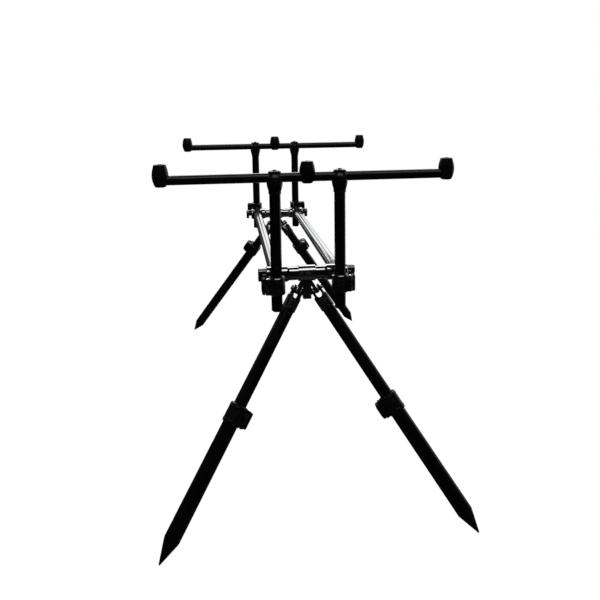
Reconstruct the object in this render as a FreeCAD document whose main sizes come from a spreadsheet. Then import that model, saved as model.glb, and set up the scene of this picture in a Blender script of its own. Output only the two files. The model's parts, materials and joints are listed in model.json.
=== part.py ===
import FreeCAD, Part
import math
import os
import Sketcher

# Twin-rail fishing rod pod, in millimetres.
# X runs along the crossbars, +Y along the rails from the front end to the rear end, +Z is up.
# The origin is on the ground under the middle of the pod.

SIZES = {
    # whole pod
    "post_spacing": 110,
    "crossbar_height": 399,
    "crossbar_span": 630,
    "front_bar_rise": 172,
    "rear_bar_rise": 186,
    "foot_spread": 508,
    "front_foot_reach": 170,
    "rear_foot_reach": 192,
    # clearances
    "running_gap": 0.06,
    "seat_gap": 0.02,
    "side_gap": 0.3,
    "overrun": 1,
    # crossbar
    "crossbar_length": 143,
    "crossbar_dia": 28,
    "crossbar_neck_dia": 23.6,
    "crossbar_neck_reach": 31,
    "crossbar_taper": 4,
    "crossbar_chamfer": 1.5,
    "socket_dia": 31,
    "socket_reach": 26,
    "socket_back": 9,
    "socket_chamfer": 1,
    # rails
    "rail_outer_dia": 21,
    "rail_inner_dia": 18,
    "rail_wall": 1.2,
    "rail_inner_show": 25,
    "rail_inner_held": 520,
    # leg bracket and hinge
    "bracket_width": 29.4,
    "bracket_dia": 28,
    "bracket_drop": 46,
    "keel_width": 14,
    "keel_depth": 16,
    "keel_round": 3,
    "leg_axes_drop": 6,
    "hinge_drop": 31,
    "lug_width": 6,
    "lug_round": 7,
    "bolt_dia": 5,
    "bolt_head_dia": 9,
    "bolt_head_height": 3,
    "bolt_socket_dia": 4,
    "bolt_socket_depth": 1.6,
    "nut_width": 7.2,
    "nut_height": 2,
    "washer_dia": 11,
    "washer_height": 1.9,
    # leg yoke
    "prong_width": 4,
    "yoke_slot_depth": 18,
    "yoke_shoulder": 13,
    "yoke_length": 38,
    "yoke_dia": 25,
    "yoke_cone": 4,
    "yoke_socket_depth": 12,
    # leg tubes and spike
    "upper_tube_dia": 22,
    "upper_tube_length": 300,
    "lower_tube_dia": 26,
    "tube_wall": 1.2,
    "guide_ring_length": 16,
    "front_collar_place": 229,
    "rear_collar_place": 102,
    "spike_length": 40,
    "spike_tip_dia": 2,
    "spike_plug": 14,
    "spike_plug_gap": 0.1,
    "spike_land": 3,
    # tube clamps with cam levers
    "leg_collar_dia": 31,
    "leg_collar_length": 33,
    "post_collar_dia": 29.4,
    "post_collar_length": 30.5,
    "post_collar_lap": 2.5,
    "collar_slit": 2,
    "collar_chamfer": 1.2,
    "tube_seat_depth": 10,
    "pin_beyond": 1.1,
    "pin_across": 7.5,
    "pin_dia": 3,
    "knuckle_dia": 8,
    "lug_inset": 1.5,
    "jaw_beyond": 4.9,
    "jaw_across": 9,
    "lever_knuckle_dia": 7.4,
    "lever_knuckle_width": 10,
    "lever_width": 28,
    "lever_reach": 17,
    "lever_thickness": 5.2,
    "lever_corner": 4.7,
    "lever_edge": 1.6,
    # uprights
    "post_dia": 19,
    "post_wall": 1.2,
    "post_offset": 25,
    "post_length": 230,
    "end_cap_rim": 3.5,
    "end_cap_round": 2,
    "end_cap_plug": 8,
    # heads that hold the rest bar on the uprights
    "head_skirt": 27,
    "head_skirt_wall": 1.2,
    "head_skirt_land": 5,
    "head_dia": 27,
    "head_floor": 2,
    "head_waist_dia": 25.4,
    "head_waist_drop": 15,
    "head_seat_rise": 1,
    "head_cap_dia": 21.6,
    "head_cap_rise": 11.3,
    "head_cap_chamfer": 1.2,
    "head_cap_step": 6,
    "head_screw_dia": 7,
    "head_screw_rise": 1.8,
    # rest bar with alarm sockets
    "bar_length": 494,
    "bar_dia": 16,
    "bar_wall": 1.2,
    "barrel_inset": 6,
    "barrel_foot_dia": 17.2,
    "barrel_top_dia": 19.4,
    "barrel_dia": 27,
    "barrel_drop": 10.7,
    "barrel_rise": 26.6,
    "barrel_foot_slope": 6,
    "barrel_top_slope": 13,
    "barrel_round": 9,
    "barrel_rim": 1,
    "insert_dia": 12.4,
    "insert_depth": 16,
    "insert_bore_dia": 8.5,
    "insert_bore_depth": 14,
    # rail locking knobs
    "knob_rise": 3,
    "knob_screw_dia": 6,
    "knob_barrel_dia": 16,
    "knob_barrel_width": 6.2,
    "knob_groove_depth": 1.1,
    "knob_grooves": 12,
    "knob_plate_width": 7,
    "knob_tail_dia": 10,
    "knob_tail_drop": 10,
    "knob_edge": 1,
}

# two places nearer than this are the same place
SAME_PLACE = 1e-4
HEX_SIDES = 6

doc = FreeCAD.newDocument("rod_pod")
sheet = doc.addObject("Spreadsheet::Sheet", "sizes")
for row, (alias, value) in enumerate(SIZES.items(), start=1):
    sheet.set(f"A{row}", alias)
    sheet.set(f"B{row}", str(value))
    sheet.setAlias(f"B{row}", alias)
doc.recompute()


class Size:
    """A size worked out from the sheet: its value now, and the expression that gives it."""

    def __init__(self, value, text):
        self.value = value
        self.text = text

    def joined(self, sign, other, value):
        text = other.text if isinstance(other, Size) else repr(other)
        return Size(value, f"({self.text} {sign} {text})")

    def __add__(self, other):
        return self.joined("+", other, self.value + number(other))

    def __sub__(self, other):
        return self.joined("-", other, self.value - number(other))

    def __mul__(self, other):
        return self.joined("*", other, self.value * number(other))

    def __truediv__(self, other):
        return self.joined("/", other, self.value / number(other))

    def __neg__(self):
        return Size(-self.value, f"(0 - {self.text})")


def number(size):
    return size.value if isinstance(size, Size) else size


class Sheet:
    """Gives each named cell of the sheet as a Size."""

    def __getattr__(self, alias):
        return Size(float(sheet.get(alias)), f"sizes.{alias}")


cell = Sheet()
nothing = Size(0.0, "0")


# Shared helpers

def bind(thing, prop, size):
    """Give a property the value of a size, and tie it to the sheet."""
    thing.setExpression(prop, size.text)


def place(thing, x=nothing, y=nothing, z=nothing, turn=None):
    """Put a feature at a point given in sizes, with a fixed rotation."""
    rotation = turn or FreeCAD.Rotation()
    thing.Placement = FreeCAD.Placement(FreeCAD.Vector(x.value, y.value, z.value), rotation)
    for axis, size in zip("xyz", (x, y, z)):
        if size is not nothing:
            bind(thing, f"Placement.Base.{axis}", size)
    return thing


ALONG_X = FreeCAD.Rotation(FreeCAD.Vector(0, 0, 1), FreeCAD.Vector(1, 0, 0))
ALONG_Y = FreeCAD.Rotation(FreeCAD.Vector(0, 0, 1), FreeCAD.Vector(0, 1, 0))
BACK_X = FreeCAD.Rotation(FreeCAD.Vector(0, 0, 1), FreeCAD.Vector(-1, 0, 0))
HALF_TURN = FreeCAD.Rotation(FreeCAD.Vector(0, 0, 1), 180)


def rod(name, radius, length, x=nothing, y=nothing, z=nothing, turn=None):
    thing = doc.addObject("Part::Cylinder", name)
    bind(thing, "Radius", radius)
    bind(thing, "Height", length)
    return place(thing, x, y, z, turn)


def block(name, low, high):
    """A box from its low corner to its high corner, both in sizes."""
    thing = doc.addObject("Part::Box", name)
    for prop, start, end in zip(("Length", "Width", "Height"), low, high):
        bind(thing, prop, end - start)
    return place(thing, *low)


def fused(name, *things):
    joint = doc.addObject("Part::MultiFuse", name)
    joint.Shapes = list(things)
    joint.Refine = True
    return joint


def cut(name, base, *tools):
    result = doc.addObject("Part::Cut", name)
    result.Base = base
    result.Tool = tools[0] if len(tools) == 1 else fused(name + "_tools", *tools)
    result.Refine = True
    return result


def grouped(name, *things):
    """Several separate solids that share one node."""
    group = doc.addObject("Part::Compound", name)
    group.Links = list(things)
    return group


def rounded(name, base, radius, test, kind="Part::Fillet"):
    """Fillet or chamfer the edges whose middle point passes the test."""
    doc.recompute()
    result = doc.addObject(kind, name)
    result.Base = base
    edges = []
    for index, edge in enumerate(base.Shape.Edges, start=1):
        middle = edge.valueAt((edge.FirstParameter + edge.LastParameter) / 2)
        if test(edge, middle):
            edges.append((index, radius.value, radius.value))
    result.Edges = edges
    return result


def turned(name, outline, plane="XZ_Plane", axis="V_Axis"):
    """A body turned on a lathe: the outline's points are (radius, height) pairs in sizes."""
    body = doc.addObject("PartDesign::Body", name)
    profile = body.newObject("Sketcher::SketchObject", name + "_profile")
    origin_plane = next(item for item in body.Origin.OriginFeatures if item.Role == plane)
    profile.AttachmentSupport = [(origin_plane, "")]
    profile.MapMode = "FlatFace"
    count = len(outline)
    for index in range(count):
        start = outline[index]
        end = outline[(index + 1) % count]
        profile.addGeometry(Part.LineSegment(
            FreeCAD.Vector(start[0].value, start[1].value, 0),
            FreeCAD.Vector(end[0].value, end[1].value, 0)))
    for index in range(count):
        profile.addConstraint(Sketcher.Constraint("Coincident", index, 2, (index + 1) % count, 1))
    for index, point in enumerate(outline):
        for kind, size in zip(("DistanceX", "DistanceY"), point):
            if size is nothing:
                target = -2 if kind == "DistanceX" else -1
                profile.addConstraint(Sketcher.Constraint("PointOnObject", index, 1, target))
            else:
                number_of = profile.addConstraint(Sketcher.Constraint(kind, index, 1, size.value))
                profile.setExpression(f"Constraints[{number_of}]", size.text)
    turning = body.newObject("PartDesign::Revolution", name + "_turning")
    turning.Profile = profile
    turning.ReferenceAxis = (profile, [axis])
    turning.Angle = 360
    body.Tip = turning
    return body


def across_flats(width):
    """The corner radius of a hexagon whose flats are this far apart."""
    return width / 2 / math.cos(math.pi / HEX_SIDES)


nodes = []


def finish(thing, label, placement=None):
    """Name a finished sub-part, put it in its place and list it for writing."""
    thing.Label = label
    if placement is not None:
        thing.Placement = placement
    nodes.append(thing)
    return thing


# Where the ends and the legs stand

def crossbar_place(end):
    """Where a crossbar stands along the pod, with the origin midway between the feet."""
    half_span = cell.crossbar_span / 2
    shift = (cell.front_foot_reach - cell.rear_foot_reach) / 2
    return shift - half_span if end == "front" else shift + half_span


def end_placement(end):
    """The middle of an end's crossbar. Its own -Y points away from the pod."""
    turn = FreeCAD.Rotation() if end == "front" else HALF_TURN
    middle = FreeCAD.Vector(0, crossbar_place(end).value, cell.crossbar_height.value)
    return FreeCAD.Placement(middle, turn)


def splay_angle():
    """Angle of a leg from upright, seen from the end of the pod."""
    drop = cell.crossbar_height.value - cell.leg_axes_drop.value
    return math.atan2(cell.foot_spread.value / 2, drop)


def hinge_point(side):
    """Where a leg's hinge lies, from the middle of its crossbar."""
    below = cell.hinge_drop.value - cell.leg_axes_drop.value
    return FreeCAD.Vector(side * below * math.tan(splay_angle()), 0, -cell.hinge_drop.value)


def lug_placement(side):
    """A hinge lug's frame: +Z up along the splayed leg, +X along the hinge towards the middle."""
    angle = splay_angle()
    across = FreeCAD.Vector(-side * math.cos(angle), 0, -math.sin(angle))
    upward = FreeCAD.Vector(-side * math.sin(angle), 0, math.cos(angle))
    turn = FreeCAD.Rotation(across, FreeCAD.Vector(), upward, "ZXY")
    return FreeCAD.Placement(hinge_point(side), turn)


def foot_reach(end):
    return cell.front_foot_reach.value if end == "front" else cell.rear_foot_reach.value


def leg_length(end):
    """From the hinge to the blunt point of the spike, whose lower edge is on the ground."""
    height = cell.crossbar_height.value - cell.hinge_drop.value
    full = math.hypot(height / math.cos(splay_angle()), foot_reach(end))
    tilt = math.acos(height / full)
    lift = cell.spike_tip_dia.value / 2 * math.sin(tilt)
    return full * (height - lift) / height


def leg_placement(end, side):
    """A leg's frame at its hinge: +Z up along the leg, +X towards its clamp lever."""
    fall = (cell.crossbar_height.value - cell.hinge_drop.value) / math.cos(splay_angle())
    lean = math.degrees(math.atan2(foot_reach(end), fall))
    turn = FreeCAD.Rotation(FreeCAD.Vector(1, 0, 0), side * lean)
    facing = FreeCAD.Rotation() if end == "front" else HALF_TURN
    in_lug = FreeCAD.Placement(FreeCAD.Vector(), turn * facing)
    return end_placement(end).multiply(lug_placement(side)).multiply(in_lug)


def world_side(end, side):
    """Which hand a side of an end is on, for someone who stands before the pod's front."""
    hand = side if end == "front" else -side
    return "left" if hand < 0 else "right"


# Crossbar and rails

def crossbar(end):
    """A turned bar with two necks, and a rail socket near each end."""
    name = end + "_crossbar"
    half = cell.crossbar_length / 2
    radius = cell.crossbar_dia / 2
    neck = cell.crossbar_neck_dia / 2
    chamfer = cell.crossbar_chamfer
    shoulder = cell.crossbar_neck_reach + cell.crossbar_taper
    bar = turned(name + "_bar", [
        (-half, nothing), (-half, radius - chamfer), (chamfer - half, radius),
        (-shoulder, radius), (-cell.crossbar_neck_reach, neck),
        (cell.crossbar_neck_reach, neck), (shoulder, radius),
        (half - chamfer, radius), (half, radius - chamfer), (half, nothing),
    ], plane="XY_Plane", axis="H_Axis")
    rail_dia = cell.rail_outer_dia if end == "front" else cell.rail_inner_dia
    sockets = []
    holes = []
    for side in (-1, 1):
        tag = name + ("_left" if side < 0 else "_right")
        across = cell.post_spacing / 2 * side
        depth = cell.socket_reach + cell.socket_back
        sockets.append(rod(tag + "_socket", cell.socket_dia / 2, cell.socket_reach,
                           x=across, turn=ALONG_Y))
        holes.append(rod(tag + "_rail_hole", rail_dia / 2 + cell.seat_gap, depth + cell.overrun,
                         x=across, y=-cell.socket_back, turn=ALONG_Y))
        screw_way = half - cell.post_spacing / 2 + cell.overrun
        holes.append(rod(tag + "_screw_hole", cell.knob_screw_dia / 2 + cell.running_gap, screw_way,
                         x=across, z=cell.knob_rise, turn=ALONG_X if side > 0 else BACK_X))
    solid = fused(name + "_solid", bar, *sockets)
    mouth = cell.socket_reach.value
    eased = rounded(name + "_eased", solid, cell.socket_chamfer,
                    lambda edge, middle: edge.Closed and abs(middle.y - mouth) < SAME_PLACE,
                    kind="Part::Chamfer")
    finish(cut(name + "_body", eased, *holes), name, end_placement(end))


def rail(kind, side):
    """One tube of a telescopic rail: the outer sits in the front end, the inner in the rear end."""
    name = f"{'left' if side < 0 else 'right'}_rail_{kind}"
    joint = crossbar_place("rear") - cell.socket_reach - cell.rail_inner_show
    if kind == "outer":
        start = crossbar_place("front") - cell.socket_back
        end = joint
        radius = cell.rail_outer_dia / 2
        bore = cell.rail_inner_dia / 2 + cell.running_gap
    else:
        start = joint - cell.rail_inner_held
        end = crossbar_place("rear") + cell.socket_back
        radius = cell.rail_inner_dia / 2
        bore = radius - cell.rail_wall
    across = cell.post_spacing / 2 * side
    tube = rod(name + "_skin", radius, end - start,
               x=across, y=start, z=cell.crossbar_height, turn=ALONG_Y)
    hollow = rod(name + "_bore", bore, end - start + cell.overrun * 2,
                 x=across, y=start - cell.overrun, z=cell.crossbar_height, turn=ALONG_Y)
    finish(cut(name + "_tube", tube, hollow), name)


# Leg bracket under the crossbar, with the hinge bolts

def leg_bracket(end):
    """A ring round the crossbar's middle with a keel and two splayed hinge lugs below it."""
    name = end + "_leg_bracket"
    ring = rod(name + "_ring", cell.bracket_dia / 2, cell.bracket_width,
               x=-cell.bracket_width / 2, turn=ALONG_X)
    half_width = cell.keel_width / 2
    half_depth = cell.keel_depth / 2
    keel_box = block(name + "_keel_box", (-half_width, -half_depth, -cell.bracket_drop),
                     (half_width, half_depth, -cell.crossbar_neck_dia / 2))
    low = -cell.bracket_drop.value
    keel = rounded(name + "_keel", keel_box, cell.keel_round,
                   lambda edge, middle: abs(middle.x) < SAME_PLACE and middle.z < low + SAME_PLACE)
    lugs = []
    holes = []
    pockets = []
    reach = fork_half_width() + cell.side_gap
    swing = cell.lug_round + cell.side_gap
    for side in (-1, 1):
        tag = name + ("_left" if side < 0 else "_right")
        inward = sorted((nothing, (half_depth + cell.overrun) * -side), key=number)
        around = rod(tag + "_fork_pocket", swing, reach * 2, x=-reach, turn=ALONG_X)
        folded = block(tag + "_fold_pocket", (-reach, inward[0], -swing), (reach, inward[1], swing))
        nut_way = rod(tag + "_nut_pocket", across_flats(cell.nut_width) + cell.side_gap,
                      reach + cell.nut_height + cell.side_gap, turn=ALONG_X)
        pocket = fused(tag + "_pocket", around, folded, nut_way)
        pocket.Placement = lug_placement(side)
        pockets.append(pocket)
        thick = cell.lug_width / 2
        eye = rod(tag + "_eye", cell.lug_round, cell.lug_width, x=-thick, turn=ALONG_X)
        web = block(tag + "_web", (-thick, -cell.lug_round, nothing),
                    (thick, cell.lug_round, cell.hinge_drop - cell.leg_axes_drop))
        lug = fused(tag + "_lug", eye, web)
        lug.Placement = lug_placement(side)
        lugs.append(lug)
        hole = rod(tag + "_hole", cell.bolt_dia / 2 + cell.seat_gap,
                   cell.lug_width + cell.overrun * 2, x=-thick - cell.overrun, turn=ALONG_X)
        hole.Placement = lug_placement(side).multiply(hole.Placement)
        hole.setExpression("Placement.Base.x", None)
        holes.append(hole)
    bore = rod(name + "_bore", cell.crossbar_neck_dia / 2 + cell.seat_gap,
               cell.bracket_width + cell.overrun * 2,
               x=-cell.bracket_width / 2 - cell.overrun, turn=ALONG_X)
    solid = fused(name + "_solid", ring, cut(name + "_cleared_keel", keel, *pockets), *lugs)
    finish(cut(name + "_body", solid, bore, *holes), name, end_placement(end))


def slot_half_width():
    """Half of the fork's slot, which holds the hinge lug between two washers."""
    return cell.lug_width / 2 + cell.washer_height + cell.side_gap


def fork_half_width():
    return slot_half_width() + cell.prong_width


def hinge_bolts(end):
    """Two bolts, each with a socket head, a thin nut, and a washer on both sides of the lug."""
    name = end + "_hinge_bolts"
    bolts = []
    for side in (-1, 1):
        tag = name + ("_left" if side < 0 else "_right")
        face = fork_half_width() + cell.side_gap
        shank = rod(tag + "_shank", cell.bolt_dia / 2, face * 2 + cell.nut_height,
                    x=-face, turn=ALONG_X)
        head = rod(tag + "_head", cell.bolt_head_dia / 2, cell.bolt_head_height,
                   x=-face, turn=BACK_X)
        recess = doc.addObject("Part::Prism", tag + "_recess")
        recess.Polygon = HEX_SIDES
        bind(recess, "Circumradius", across_flats(cell.bolt_socket_dia))
        bind(recess, "Height", cell.bolt_socket_depth + cell.overrun)
        place(recess, x=cell.bolt_socket_depth - face - cell.bolt_head_height, turn=BACK_X)
        nut = doc.addObject("Part::Prism", tag + "_nut")
        nut.Polygon = HEX_SIDES
        bind(nut, "Circumradius", across_flats(cell.nut_width))
        bind(nut, "Height", cell.nut_height)
        place(nut, x=face, turn=ALONG_X)
        washers = []
        for hand in (-1, 1):
            washers.append(rod(f"{tag}_washer_{hand + 1}", cell.washer_dia / 2, cell.washer_height,
                               x=(cell.lug_width / 2 + cell.seat_gap) * hand,
                               turn=ALONG_X if hand > 0 else BACK_X))
        bolt = cut(tag + "_bolt", fused(tag + "_blank", shank, head, nut, *washers), recess)
        bolt.Placement = lug_placement(side)
        bolts.append(bolt)
    finish(grouped(name + "_pair", *bolts), name, end_placement(end))


# Tube clamps and their cam levers

def clamp_collar(name, tube_dia, collar_dia, length, hand, seat_dia=None):
    """A split collar. +X faces the lever, the tube runs along Z, and the pin is on the hand's side."""
    half = length / 2
    radius = collar_dia / 2
    pin_x = radius + cell.pin_beyond
    jaw_x = radius + cell.jaw_beyond
    ring = rod(name + "_ring", radius, length, z=-half)
    barrel = rounded(name + "_barrel", ring, cell.collar_chamfer,
                     lambda edge, middle: edge.Closed, kind="Part::Chamfer")
    lug_half = half - cell.lug_inset
    lever_half = cell.lever_knuckle_width / 2 + cell.side_gap
    inner = cell.knuckle_dia / 2
    pin_y = cell.pin_across * hand
    eye = rod(name + "_eye", inner, lug_half * 2, x=pin_x, y=pin_y, z=-lug_half)
    start = radius / 2
    sides = sorted((pin_y - inner, pin_y + inner), key=number)
    pin_web = block(name + "_pin_web", (start, sides[0], -lug_half),
                    (pin_x, sides[1], lug_half))
    jaw_sides = sorted((cell.collar_slit / 2 * -hand, cell.jaw_across * -hand), key=number)
    jaw = block(name + "_jaw", (start, jaw_sides[0], -lug_half),
                (jaw_x, jaw_sides[1], lug_half))
    solid = fused(name + "_solid", barrel, eye, pin_web, jaw)
    bore = rod(name + "_bore", tube_dia / 2 + cell.running_gap, length + cell.overrun * 2,
               z=-half - cell.overrun)
    slit = block(name + "_slit", (nothing, -cell.collar_slit / 2, -half - cell.overrun),
                 (jaw_x + cell.overrun, cell.collar_slit / 2, half + cell.overrun))
    clear = cell.knuckle_dia / 2 + cell.side_gap
    gap_sides = sorted((pin_y - clear * hand, pin_y + clear * hand * 2), key=number)
    lever_gap = block(name + "_lever_gap", (pin_x - clear, gap_sides[0], -lever_half),
                      (pin_x + clear, gap_sides[1], lever_half))
    pin_hole = rod(name + "_pin_hole", cell.pin_dia / 2 + cell.running_gap,
                   length + cell.overrun * 2, x=pin_x, y=pin_y, z=-half - cell.overrun)
    tools = [bore, slit, lever_gap, pin_hole]
    if seat_dia is not None:
        tools.append(rod(name + "_tube_seat", seat_dia / 2 + cell.seat_gap,
                         cell.tube_seat_depth + cell.overrun, z=-half - cell.overrun))
    return cut(name + "_collar", solid, *tools)


def clamp_lever(name, collar_dia, length, hand):
    """A cam lever with its pin, closed against the collar and turned out about the pin."""
    pin_x = collar_dia / 2 + cell.pin_beyond
    half_knuckle = cell.lever_knuckle_width / 2
    pin_y = cell.pin_across * hand
    inner = pin_x + cell.knuckle_dia / 2 + cell.side_gap
    outer = inner + cell.lever_thickness
    half = cell.lever_width / 2
    sides = sorted((pin_y, pin_y - cell.lever_reach * hand), key=number)
    slab = block(name + "_slab", (inner, sides[0], -half), (outer, sides[1], half))
    free_end = pin_y.value - cell.lever_reach.value * hand
    corners = rounded(name + "_corners", slab, cell.lever_corner,
                      lambda edge, middle: abs(middle.y - free_end) < SAME_PLACE and
                      abs(edge.Vertexes[0].Z - edge.Vertexes[1].Z) < SAME_PLACE)
    face = outer.value
    plate = rounded(name + "_plate", corners, cell.lever_edge,
                    lambda edge, middle: abs(middle.x - face) < SAME_PLACE, kind="Part::Chamfer")
    knuckle = rod(name + "_knuckle", cell.lever_knuckle_dia / 2, half_knuckle * 2,
                  x=pin_x, y=pin_y, z=-half_knuckle)
    web_half = cell.lever_knuckle_dia / 2
    web_sides = sorted((pin_y + web_half * hand * 0, pin_y - web_half * hand), key=number)
    web = block(name + "_web", (pin_x, web_sides[0], -half_knuckle),
                (inner + cell.lever_edge, web_sides[1], half_knuckle))
    lever_solid = fused(name + "_solid", plate, knuckle, web)
    pin_half = length / 2 - cell.lug_inset
    hole = rod(name + "_pin_hole", cell.pin_dia / 2 + cell.seat_gap, pin_half * 2,
               x=pin_x, y=pin_y, z=-pin_half)
    pin = rod(name + "_pin", cell.pin_dia / 2, pin_half * 2,
              x=pin_x, y=pin_y, z=-pin_half)
    return grouped(name + "_with_pin", cut(name + "_lever", lever_solid, hole), pin)


def post_placement(end, side):
    """An upright clamp's frame in its end: the tube along Z, the lever on the outer side.

    The front clamps hang below the crossbar's axis and the rear ones stand above it."""
    turn = FreeCAD.Rotation() if side > 0 else HALF_TURN
    middle = (cell.post_collar_lap - cell.post_collar_length / 2).value
    if end == "rear":
        middle = -middle
    place_at = FreeCAD.Vector(side * cell.post_spacing.value / 2, -cell.post_offset.value, middle)
    return FreeCAD.Placement(place_at, turn)


def post_clamps(end):
    """The pair of collars that hold the uprights, each saddled on the crossbar's front."""
    name = end + "_upright_clamps"
    clamps = []
    for side in (-1, 1):
        tag = name + ("_left" if side < 0 else "_right")
        collar = clamp_collar(tag, cell.post_dia, cell.post_collar_dia, cell.post_collar_length,
                              -side)
        collar.Placement = post_placement(end, side)
        saddle = rod(tag + "_saddle", cell.crossbar_dia / 2 + cell.seat_gap, cell.crossbar_length,
                     x=-cell.crossbar_length / 2, turn=ALONG_X)
        clamps.append(cut(tag + "_clamp", collar, saddle))
    finish(grouped(name + "_pair", *clamps), name, end_placement(end))


def post_lever(end, side):
    name = f"{end}_{world_side(end, side)}_upright_lever"
    lever = clamp_lever(name + "_part", cell.post_collar_dia, cell.post_collar_length, -side)
    finish(lever, name, end_placement(end).multiply(post_placement(end, side)))


# Uprights, rest bar and alarm sockets. Heights here are from the rest bar's axis.

def bar_placement(end):
    """The middle of an end's rest bar, above and outside the crossbar."""
    rise = cell.front_bar_rise if end == "front" else cell.rear_bar_rise
    middle = FreeCAD.Vector(0, -cell.post_offset.value, rise.value)
    return end_placement(end).multiply(FreeCAD.Placement(middle, FreeCAD.Rotation()))


def head_under_bar():
    """From the rest bar's axis down to the top of the upright's tube."""
    return cell.bar_dia / 2 + cell.head_floor


def upright(end, side):
    name = f"{end}_{world_side(end, side)}_upright"
    across = cell.post_spacing / 2 * side
    start = cell.end_cap_rim - cell.post_length
    length = -head_under_bar() - start
    skin = rod(name + "_skin", cell.post_dia / 2, length, x=across, z=start)
    bore = rod(name + "_bore", cell.post_dia / 2 - cell.post_wall, length + cell.overrun * 2,
               x=across, z=start - cell.overrun)
    finish(cut(name + "_tube", skin, bore), name, bar_placement(end))


def end_caps(end):
    """Plugs with a rounded rim in the lower ends of the uprights."""
    name = end + "_upright_end_caps"
    radius = cell.post_dia / 2
    plug = radius - cell.post_wall - cell.seat_gap
    ease = cell.end_cap_round
    caps = []
    for side in (-1, 1):
        tag = name + ("_left" if side < 0 else "_right")
        cap = turned(tag, [
            (nothing, nothing), (radius - ease, nothing), (radius, ease),
            (radius, cell.end_cap_rim), (plug, cell.end_cap_rim),
            (plug, cell.end_cap_rim + cell.end_cap_plug),
            (nothing, cell.end_cap_rim + cell.end_cap_plug),
        ])
        place(cap, x=cell.post_spacing / 2 * side, z=-cell.post_length)
        caps.append(cap)
    finish(grouped(name + "_pair", *caps), name, bar_placement(end))


def bar_heads(end):
    """The cradles on top of the uprights that the rest bar lies in."""
    name = end + "_bar_heads"
    skirt = cell.post_dia / 2 + cell.head_skirt_wall
    under_bar = head_under_bar()
    heads = []
    for side in (-1, 1):
        tag = name + ("_left" if side < 0 else "_right")
        across = cell.post_spacing / 2 * side
        blank = turned(tag + "_blank", [
            (nothing, -cell.head_skirt), (skirt, -cell.head_skirt),
            (skirt, cell.head_skirt_land - cell.head_skirt),
            (cell.head_waist_dia / 2, -cell.head_waist_drop),
            (cell.head_dia / 2, -under_bar),
            (cell.head_dia / 2, cell.head_seat_rise), (nothing, cell.head_seat_rise),
        ])
        place(blank, x=across)
        seat = rod(tag + "_bar_seat", cell.bar_dia / 2 + cell.seat_gap, cell.head_dia * 2,
                   x=across - cell.head_dia, turn=ALONG_X)
        socket = rod(tag + "_post_socket", cell.post_dia / 2 + cell.seat_gap,
                     cell.head_skirt - under_bar + cell.overrun,
                     x=across, z=-cell.head_skirt - cell.overrun)
        heads.append(cut(tag + "_head", blank, seat, socket))
    finish(grouped(name + "_pair", *heads), name, bar_placement(end))


def bar_head_caps(end):
    """The caps that clamp the rest bar down on its cradles, each with its screw head on top."""
    name = end + "_bar_head_caps"
    radius = cell.head_cap_dia / 2
    caps = []
    for side in (-1, 1):
        tag = name + ("_left" if side < 0 else "_right")
        across = cell.post_spacing / 2 * side
        blank = turned(tag + "_blank", [
            (nothing, cell.head_seat_rise), (cell.head_dia / 2, cell.head_seat_rise),
            (radius, cell.head_cap_step), (radius, cell.head_cap_rise - cell.head_cap_chamfer),
            (radius - cell.head_cap_chamfer, cell.head_cap_rise),
            (cell.head_screw_dia / 2, cell.head_cap_rise),
            (cell.head_screw_dia / 2, cell.head_cap_rise + cell.head_screw_rise),
            (nothing, cell.head_cap_rise + cell.head_screw_rise),
        ])
        place(blank, x=across)
        seat = rod(tag + "_bar_seat", cell.bar_dia / 2 + cell.seat_gap, cell.head_dia * 2,
                   x=across - cell.head_dia, turn=ALONG_X)
        caps.append(cut(tag + "_cap", blank, seat))
    finish(grouped(name + "_pair", *caps), name, bar_placement(end))


def rest_bar(end):
    name = end + "_rest_bar"
    skin = rod(name + "_skin", cell.bar_dia / 2, cell.bar_length,
               x=-cell.bar_length / 2, turn=ALONG_X)
    bore = rod(name + "_bore", cell.bar_dia / 2 - cell.bar_wall, cell.bar_length + cell.overrun * 2,
               x=-cell.bar_length / 2 - cell.overrun, turn=ALONG_X)
    finish(cut(name + "_tube", skin, bore), name, bar_placement(end))


def barrel_across(place_index):
    """How far along the rest bar a barrel head stands: left, middle or right."""
    return (cell.bar_length / 2 - cell.barrel_inset) * place_index


def alarm_barrels(end):
    """Three barrel-shaped heads on the rest bar, each hollow on top for a threaded insert."""
    name = end + "_alarm_barrels"
    foot = cell.barrel_foot_dia / 2
    belly = cell.barrel_dia / 2
    top = cell.barrel_top_dia / 2
    rim = cell.barrel_rim
    bar_hole = rod(name + "_bar_hole", cell.bar_dia / 2 + cell.seat_gap, cell.bar_length,
                   x=-cell.bar_length / 2, turn=ALONG_X)
    barrels = []
    for place_index in (-1, 0, 1):
        tag = f"{name}_{('left', 'middle', 'right')[place_index + 1]}"
        across = barrel_across(place_index)
        blank = turned(tag + "_blank", [
            (nothing, -cell.barrel_drop), (foot - rim, -cell.barrel_drop),
            (foot, rim - cell.barrel_drop),
            (belly, cell.barrel_foot_slope - cell.barrel_drop + rim),
            (belly, cell.barrel_rise - cell.barrel_top_slope - rim),
            (top, cell.barrel_rise - rim), (top - rim, cell.barrel_rise),
            (nothing, cell.barrel_rise),
        ])
        girth = cell.barrel_dia.value * math.pi
        eased = rounded(tag + "_eased", blank, cell.barrel_round,
                        lambda edge, middle: edge.Closed and abs(edge.Length - girth) < SAME_PLACE)
        place(eased, x=across)
        well = rod(tag + "_well", cell.insert_dia / 2 + cell.seat_gap,
                   cell.insert_depth + cell.overrun, x=across, z=cell.barrel_rise - cell.insert_depth)
        barrels.append(cut(tag + "_barrel", eased, bar_hole, well))
    finish(grouped(name + "_set", *barrels), name, bar_placement(end))


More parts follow.
